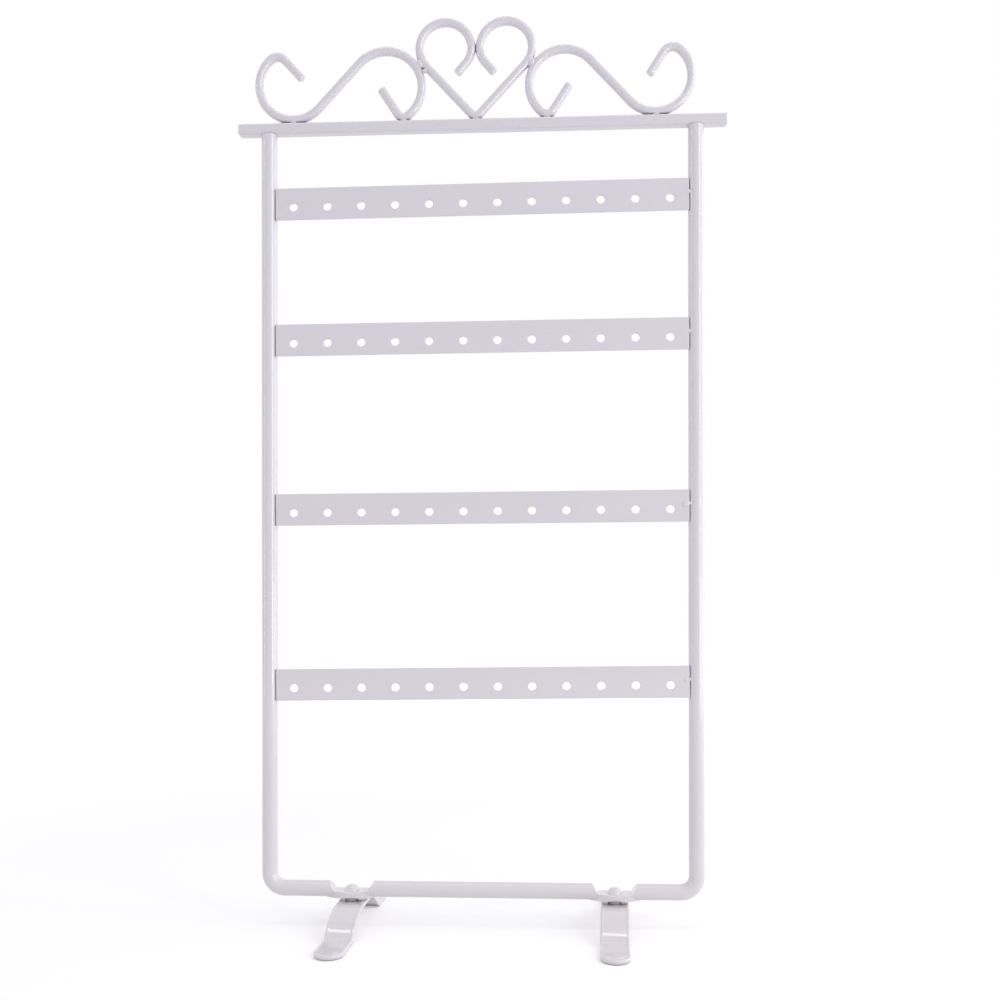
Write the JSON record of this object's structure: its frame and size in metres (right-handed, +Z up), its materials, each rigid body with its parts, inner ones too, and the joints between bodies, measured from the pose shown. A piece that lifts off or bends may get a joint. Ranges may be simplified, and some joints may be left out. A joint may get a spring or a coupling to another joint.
{
  "type": "earring display stand",
  "caption": "Upright bent-rod frame with punched strips for hook earrings, a heart and scroll ornament on a square top bar, and bowed strip feet that swivel on rivets.",
  "frame": {"origin": "on the table, midway between the posts and midway from the front toes to the rear toes", "axes": "+Z up along the posts, +X to the viewer's right along the strips, -Y towards the viewer, the side that the strips are welded to"},
  "size_m": [0.16, 0.0709, 0.2969],
  "materials": {
    "white_enamel": "gloss"
  },
  "bodies": {
    "stand": {"frame_rod": "white_enamel", "top_bar": "white_enamel", "top_strip": "white_enamel", "upper_strip": "white_enamel", "lower_strip": "white_enamel", "bottom_strip": "white_enamel", "heart": "white_enamel", "left_scroll": "white_enamel", "right_scroll": "white_enamel", "left_rivet": "white_enamel", "right_rivet": "white_enamel", "left_washer": "white_enamel", "right_washer": "white_enamel"},
    "left_foot": {"left_foot": "white_enamel"},
    "right_foot": {"right_foot": "white_enamel"}
  },
  "joints": [
    {"name": "left_foot_swivel", "type": "hinge", "parent": "stand", "child": "left_foot", "pos_m": [-0.0426, 0, 0.0081], "axis": [0, 0, 1], "continuous": true},
    {"name": "right_foot_swivel", "type": "hinge", "parent": "stand", "child": "right_foot", "pos_m": [0.0434, 0, 0.0081], "axis": [0, 0, 1], "continuous": true}
  ]
}
